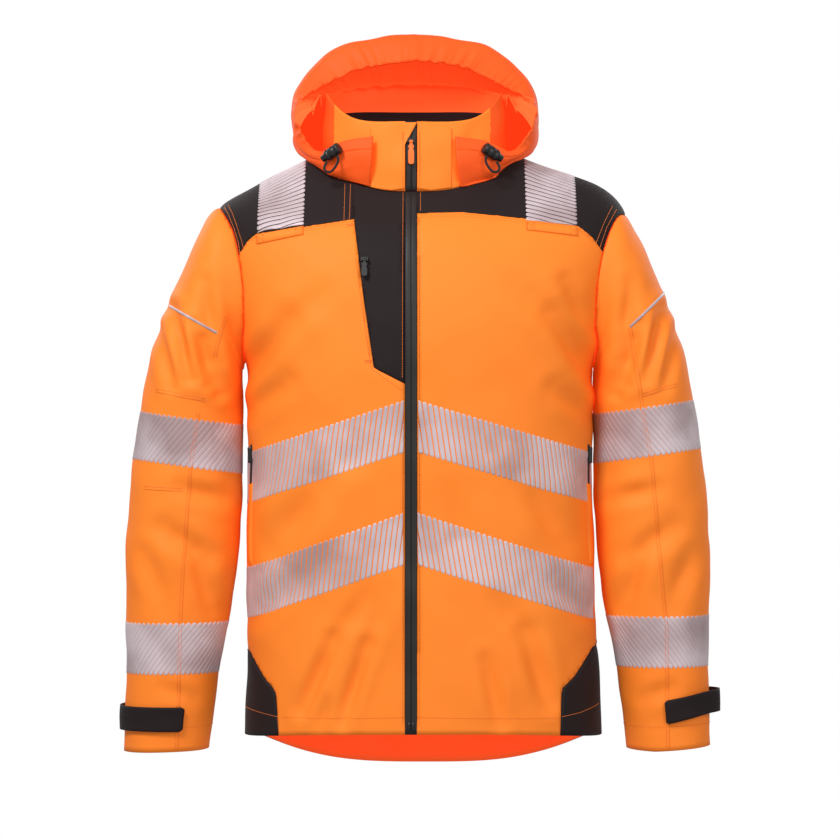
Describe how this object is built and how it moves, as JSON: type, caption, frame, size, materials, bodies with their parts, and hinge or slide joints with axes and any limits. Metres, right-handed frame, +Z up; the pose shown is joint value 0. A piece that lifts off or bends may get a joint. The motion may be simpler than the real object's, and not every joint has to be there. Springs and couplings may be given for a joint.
{
  "type": "hi-vis work jacket",
  "caption": "Hooded hi-vis work jacket, zipped up and filled out as worn, with black yokes, sloping reflective tapes and a dropped back hem.",
  "frame": {"origin": "between the side neck points, where the shoulders of the wearer hold the jacket", "axes": "+Z up, -Y to the front, +X to the left of the wearer"},
  "size_m": [0.7101, 0.3332, 0.8895],
  "materials": {
    "orange_cloth": "fluorescent orange coated polyester oxford weave",
    "orange_lining": "orange inner face of the collar cloth",
    "black_cloth": "black coated polyester oxford weave",
    "black_lining": "black brushed neck lining",
    "zip_tape": "black coated zip tape",
    "reflective_tape": "silver-grey glass bead tape in slanting segments",
    "black_plastic": "black moulded plastic",
    "orange_pull": "orange moulded pull",
    "elastic_cord": "black elastic cord"
  },
  "bodies": {
    "jacket": {"back": "orange_cloth", "chest_panel": "black_cloth", "collar": "orange_lining", "collar_strip_left": "orange_cloth", "collar_strip_right": "orange_cloth", "collar_zip": "zip_tape", "cord_lock_left": "black_plastic", "cord_lock_right": "black_plastic", "cord_loop_left": "elastic_cord", "cord_loop_right": "elastic_cord", "cuff_tab_left": "black_cloth", "cuff_tab_right": "black_cloth", "front_left": "orange_cloth", "front_right": "orange_cloth", "hand_zip_left": "zip_tape", "hand_zip_pull_left": "black_plastic", "hand_zip_pull_right": "black_plastic", "hand_zip_right": "zip_tape", "hood": "orange_cloth", "loop_tab_left": "orange_cloth", "loop_tab_right": "orange_cloth", "main_zip": "zip_tape", "neck_lining": "black_lining", "piping_left": "reflective_tape", "piping_right": "reflective_tape", "pocket_slider": "black_plastic", "side_gore_left": "black_cloth", "side_gore_right": "black_cloth", "sleeve_left": "orange_cloth", "sleeve_right": "orange_cloth", "tape_back_lower": "reflective_tape", "tape_back_upper": "reflective_tape", "tape_front_lower_left": "reflective_tape", "tape_front_lower_right": "reflective_tape", "tape_front_upper_left": "reflective_tape", "tape_front_upper_right": "reflective_tape", "tape_shoulder_left": "reflective_tape", "tape_shoulder_right": "reflective_tape", "tape_sleeve_lower_left": "reflective_tape", "tape_sleeve_lower_right": "reflective_tape", "tape_sleeve_upper_left": "reflective_tape", "tape_sleeve_upper_right": "reflective_tape", "yoke_back": "black_cloth", "yoke_front_left": "black_cloth", "yoke_front_right": "black_cloth", "zip_slider": "black_plastic"},
    "zip_pull_tab": {"zip_pull": "orange_pull"},
    "pocket_pull_tab": {"pocket_pull": "black_plastic"}
  },
  "joints": [
    {"name": "zip_pull_swing", "type": "hinge", "parent": "jacket", "child": "zip_pull_tab", "pos_m": [-0.008, -0.07943, 0.01553], "axis": [-1, 0, 0], "range_deg": [0, 165]},
    {"name": "pocket_pull_swing", "type": "hinge", "parent": "jacket", "child": "pocket_pull_tab", "pos_m": [-0.062, -0.13496, -0.12633], "axis": [-1, 0, 0], "range_deg": [0, 165]}
  ]
}
